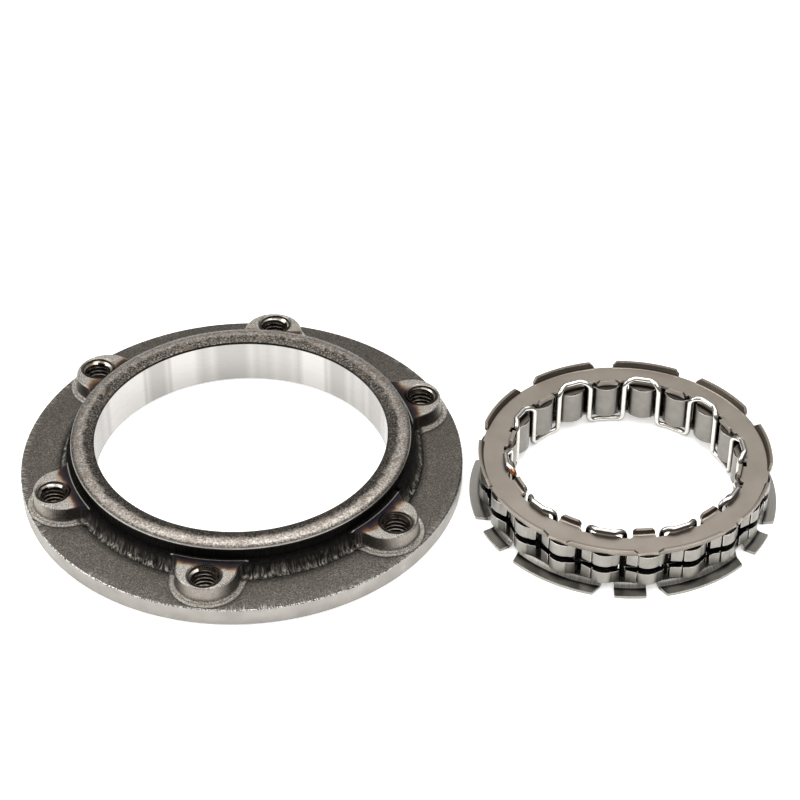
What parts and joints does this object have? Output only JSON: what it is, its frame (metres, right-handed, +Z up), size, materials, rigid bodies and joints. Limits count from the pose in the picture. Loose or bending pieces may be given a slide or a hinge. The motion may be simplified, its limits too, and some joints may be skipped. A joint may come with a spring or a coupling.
{
  "type": "sprag clutch",
  "caption": "One-way sprag clutch in separate halves: a forged, flanged outer race with threaded bosses, and a cage of sprags held by pressed rings, a ribbon spring and a garter spring.",
  "frame": {"origin": "centre of the footprint of both halves, on the surface that they lie on", "axes": "+Z up along both turning axes; +X from the outer race towards the sprag cage"},
  "size_m": [0.2035, 0.1194, 0.0148],
  "materials": {
    "forged_steel": "as forged outside, ground in the bore and turned on the rim",
    "ring_steel": "satin, pressed sheet",
    "dark_ring_steel": "satin, pressed sheet",
    "sprag_steel": "ground satin",
    "spring_strip": "polished stainless spring strip",
    "dark_spring_wire": "dark oiled spring wire"
  },
  "bodies": {
    "race": {"outer_race": "forged_steel"},
    "cage": {"upper_end_ring": "ring_steel", "lower_end_ring": "dark_ring_steel", "ribbon_spring": "spring_strip", "garter_spring": "dark_spring_wire"},
    "sprag_01": {"sprag_01": "sprag_steel"},
    "sprag_02": {"sprag_02": "sprag_steel"},
    "sprag_03": {"sprag_03": "sprag_steel"},
    "sprag_04": {"sprag_04": "sprag_steel"},
    "sprag_05": {"sprag_05": "sprag_steel"},
    "sprag_06": {"sprag_06": "sprag_steel"},
    "sprag_07": {"sprag_07": "sprag_steel"},
    "sprag_08": {"sprag_08": "sprag_steel"},
    "sprag_09": {"sprag_09": "sprag_steel"},
    "sprag_10": {"sprag_10": "sprag_steel"},
    "sprag_11": {"sprag_11": "sprag_steel"},
    "sprag_12": {"sprag_12": "sprag_steel"},
    "sprag_13": {"sprag_13": "sprag_steel"},
    "sprag_14": {"sprag_14": "sprag_steel"},
    "sprag_15": {"sprag_15": "sprag_steel"},
    "sprag_16": {"sprag_16": "sprag_steel"},
    "sprag_17": {"sprag_17": "sprag_steel"},
    "sprag_18": {"sprag_18": "sprag_steel"},
    "sprag_19": {"sprag_19": "sprag_steel"},
    "sprag_20": {"sprag_20": "sprag_steel"}
  },
  "joints": [
    {"name": "cage_overrun", "type": "hinge", "parent": "race", "child": "cage", "pos_m": [0.06055, -0.0088, 0], "axis": [0, 0, 1], "continuous": true},
    {"name": "sprag_tilt_01", "type": "hinge", "parent": "cage", "child": "sprag_01", "pos_m": [0.09611, -0.00569, 0.007], "axis": [0, 0, 1], "range_deg": [-3, 3], "stiffness_Nm_per_rad": 0.002},
    {"name": "sprag_tilt_02", "type": "hinge", "parent": "cage", "child": "sprag_02", "pos_m": [0.09341, 0.00515, 0.007], "axis": [0, 0, 1], "range_deg": [-3, 3], "stiffness_Nm_per_rad": 0.002},
    {"name": "sprag_tilt_03", "type": "hinge", "parent": "cage", "child": "sprag_03", "pos_m": [0.08749, 0.01462, 0.007], "axis": [0, 0, 1], "range_deg": [-3, 3], "stiffness_Nm_per_rad": 0.002},
    {"name": "sprag_tilt_04", "type": "hinge", "parent": "cage", "child": "sprag_04", "pos_m": [0.07894, 0.0218, 0.007], "axis": [0, 0, 1], "range_deg": [-3, 3], "stiffness_Nm_per_rad": 0.002},
    {"name": "sprag_tilt_05", "type": "hinge", "parent": "cage", "child": "sprag_05", "pos_m": [0.06858, 0.02599, 0.007], "axis": [0, 0, 1], "range_deg": [-3, 3], "stiffness_Nm_per_rad": 0.002},
    {"name": "sprag_tilt_06", "type": "hinge", "parent": "cage", "child": "sprag_06", "pos_m": [0.05744, 0.02676, 0.007], "axis": [0, 0, 1], "range_deg": [-3, 3], "stiffness_Nm_per_rad": 0.002},
    {"name": "sprag_tilt_07", "type": "hinge", "parent": "cage", "child": "sprag_07", "pos_m": [0.0466, 0.02406, 0.007], "axis": [0, 0, 1], "range_deg": [-3, 3], "stiffness_Nm_per_rad": 0.002},
    {"name": "sprag_tilt_08", "type": "hinge", "parent": "cage", "child": "sprag_08", "pos_m": [0.03713, 0.01814, 0.007], "axis": [0, 0, 1], "range_deg": [-3, 3], "stiffness_Nm_per_rad": 0.002},
    {"name": "sprag_tilt_09", "type": "hinge", "parent": "cage", "child": "sprag_09", "pos_m": [0.02995, 0.00959, 0.007], "axis": [0, 0, 1], "range_deg": [-3, 3], "stiffness_Nm_per_rad": 0.002},
    {"name": "sprag_tilt_10", "type": "hinge", "parent": "cage", "child": "sprag_10", "pos_m": [0.02576, -0.00077, 0.007], "axis": [0, 0, 1], "range_deg": [-3, 3], "stiffness_Nm_per_rad": 0.002},
    {"name": "sprag_tilt_11", "type": "hinge", "parent": "cage", "child": "sprag_11", "pos_m": [0.02499, -0.01191, 0.007], "axis": [0, 0, 1], "range_deg": [-3, 3], "stiffness_Nm_per_rad": 0.002},
    {"name": "sprag_tilt_12", "type": "hinge", "parent": "cage", "child": "sprag_12", "pos_m": [0.02769, -0.02275, 0.007], "axis": [0, 0, 1], "range_deg": [-3, 3], "stiffness_Nm_per_rad": 0.002},
    {"name": "sprag_tilt_13", "type": "hinge", "parent": "cage", "child": "sprag_13", "pos_m": [0.03361, -0.03222, 0.007], "axis": [0, 0, 1], "range_deg": [-3, 3], "stiffness_Nm_per_rad": 0.002},
    {"name": "sprag_tilt_14", "type": "hinge", "parent": "cage", "child": "sprag_14", "pos_m": [0.04216, -0.0394, 0.007], "axis": [0, 0, 1], "range_deg": [-3, 3], "stiffness_Nm_per_rad": 0.002},
    {"name": "sprag_tilt_15", "type": "hinge", "parent": "cage", "child": "sprag_15", "pos_m": [0.05252, -0.04358, 0.007], "axis": [0, 0, 1], "range_deg": [-3, 3], "stiffness_Nm_per_rad": 0.002},
    {"name": "sprag_tilt_16", "type": "hinge", "parent": "cage", "child": "sprag_16", "pos_m": [0.06366, -0.04436, 0.007], "axis": [0, 0, 1], "range_deg": [-3, 3], "stiffness_Nm_per_rad": 0.002},
    {"name": "sprag_tilt_17", "type": "hinge", "parent": "cage", "child": "sprag_17", "pos_m": [0.0745, -0.04166, 0.007], "axis": [0, 0, 1], "range_deg": [-3, 3], "stiffness_Nm_per_rad": 0.002},
    {"name": "sprag_tilt_18", "type": "hinge", "parent": "cage", "child": "sprag_18", "pos_m": [0.08397, -0.03574, 0.007], "axis": [0, 0, 1], "range_deg": [-3, 3], "stiffness_Nm_per_rad": 0.002},
    {"name": "sprag_tilt_19", "type": "hinge", "parent": "cage", "child": "sprag_19", "pos_m": [0.09115, -0.02719, 0.007], "axis": [0, 0, 1], "range_deg": [-3, 3], "stiffness_Nm_per_rad": 0.002},
    {"name": "sprag_tilt_20", "type": "hinge", "parent": "cage", "child": "sprag_20", "pos_m": [0.09534, -0.01683, 0.007], "axis": [0, 0, 1], "range_deg": [-3, 3], "stiffness_Nm_per_rad": 0.002}
  ],
  "couplings": [
    {"joint": "sprag_tilt_02", "follows": "sprag_tilt_01", "ratio": 1},
    {"joint": "sprag_tilt_03", "follows": "sprag_tilt_01", "ratio": 1},
    {"joint": "sprag_tilt_04", "follows": "sprag_tilt_01", "ratio": 1},
    {"joint": "sprag_tilt_05", "follows": "sprag_tilt_01", "ratio": 1},
    {"joint": "sprag_tilt_06", "follows": "sprag_tilt_01", "ratio": 1},
    {"joint": "sprag_tilt_07", "follows": "sprag_tilt_01", "ratio": 1},
    {"joint": "sprag_tilt_08", "follows": "sprag_tilt_01", "ratio": 1},
    {"joint": "sprag_tilt_09", "follows": "sprag_tilt_01", "ratio": 1},
    {"joint": "sprag_tilt_10", "follows": "sprag_tilt_01", "ratio": 1},
    {"joint": "sprag_tilt_11", "follows": "sprag_tilt_01", "ratio": 1},
    {"joint": "sprag_tilt_12", "follows": "sprag_tilt_01", "ratio": 1},
    {"joint": "sprag_tilt_13", "follows": "sprag_tilt_01", "ratio": 1},
    {"joint": "sprag_tilt_14", "follows": "sprag_tilt_01", "ratio": 1},
    {"joint": "sprag_tilt_15", "follows": "sprag_tilt_01", "ratio": 1},
    {"joint": "sprag_tilt_16", "follows": "sprag_tilt_01", "ratio": 1},
    {"joint": "sprag_tilt_17", "follows": "sprag_tilt_01", "ratio": 1},
    {"joint": "sprag_tilt_18", "follows": "sprag_tilt_01", "ratio": 1},
    {"joint": "sprag_tilt_19", "follows": "sprag_tilt_01", "ratio": 1},
    {"joint": "sprag_tilt_20", "follows": "sprag_tilt_01", "ratio": 1}
  ]
}
